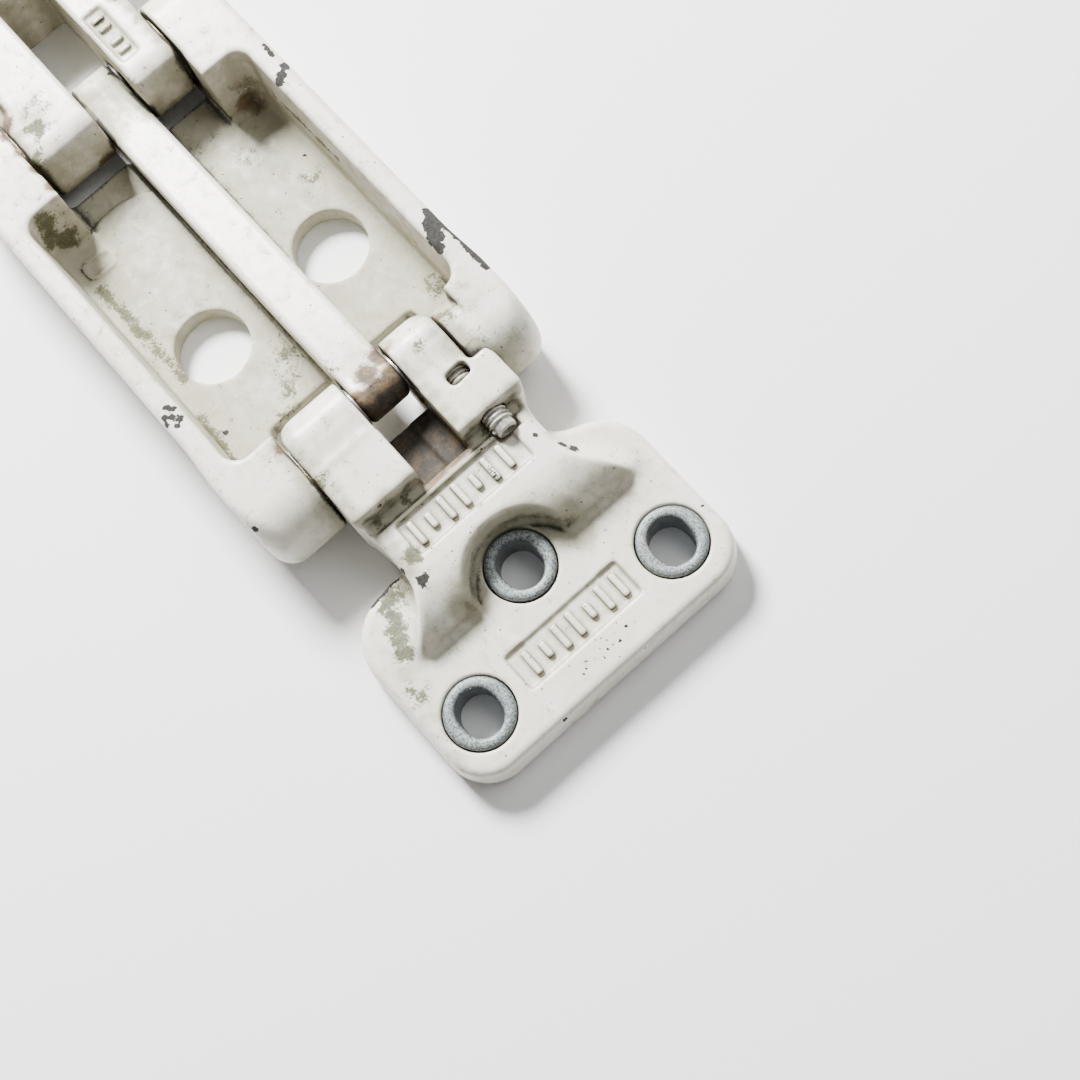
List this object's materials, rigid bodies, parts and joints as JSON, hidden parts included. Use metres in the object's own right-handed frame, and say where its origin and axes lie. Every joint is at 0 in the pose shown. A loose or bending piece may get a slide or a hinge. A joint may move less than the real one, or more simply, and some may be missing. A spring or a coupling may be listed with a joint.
{
  "type": "friction stay hinge",
  "caption": "Flat two-pivot friction hinge: two screw-on brackets joined by a channel arm and a slim control link that makes both pivots turn together.",
  "frame": {"origin": "middle of the frame bracket's back face, on the line of its two outer screw holes", "axes": "+X along the hinge towards the sash bracket, +Z away from the surfaces both brackets are screwed to"},
  "size_m": [0.1569, 0.0476, 0.014],
  "materials": {
    "coated_casting": "semi-gloss powder coat on die casting",
    "zinc_plated_steel": "galvanised",
    "pin_steel": "ground",
    "screw_steel": "zinc plated, dull",
    "bush_bronze": "sintered",
    "friction_disc": "dull",
    "thin_washer": "dull"
  },
  "bodies": {
    "frame_bracket": {"frame_bracket": "coated_casting", "frame_friction_washer_left": "friction_disc", "frame_friction_washer_right": "friction_disc", "frame_grub_screw": "screw_steel", "frame_insert_left": "zinc_plated_steel", "frame_insert_middle": "zinc_plated_steel", "frame_insert_right": "zinc_plated_steel", "frame_pivot_pin_left": "pin_steel", "frame_pivot_pin_right": "pin_steel", "link_pin_frame": "pin_steel", "link_washer_frame_left": "thin_washer", "link_washer_frame_right": "thin_washer"},
    "main_arm": {"frame_bush_left": "bush_bronze", "frame_bush_right": "bush_bronze", "main_arm": "coated_casting", "sash_bush_left": "bush_bronze", "sash_bush_right": "bush_bronze"},
    "control_link": {"control_link": "coated_casting", "link_bush_frame": "bush_bronze", "link_bush_sash": "bush_bronze"},
    "sash_bracket": {"link_pin_sash": "pin_steel", "link_washer_sash_left": "thin_washer", "link_washer_sash_right": "thin_washer", "sash_bracket": "coated_casting", "sash_friction_washer_left": "friction_disc", "sash_friction_washer_right": "friction_disc", "sash_grub_screw": "screw_steel", "sash_insert_left": "zinc_plated_steel", "sash_insert_middle": "zinc_plated_steel", "sash_insert_right": "zinc_plated_steel", "sash_pivot_pin_left": "pin_steel", "sash_pivot_pin_right": "pin_steel"}
  },
  "joints": [
    {"name": "arm_pivot", "type": "hinge", "parent": "frame_bracket", "child": "main_arm", "pos_m": [0.0375, 0, 0.00665], "axis": [0, -1, 0], "range_deg": [0, 90]},
    {"name": "sash_pivot", "type": "hinge", "parent": "main_arm", "child": "sash_bracket", "pos_m": [0.1028, 0, 0.00665], "axis": [0, -1, 0], "range_deg": [0, 90]},
    {"name": "link_pivot", "type": "hinge", "parent": "frame_bracket", "child": "control_link", "pos_m": [0.03439, 0.0014, 0.00354], "axis": [0, -1, 0], "range_deg": [0, 79]}
  ],
  "couplings": [
    {"joint": "sash_pivot", "follows": "arm_pivot", "ratio": 1},
    {"joint": "link_pivot", "follows": "arm_pivot", "ratio": 0.8763}
  ]
}
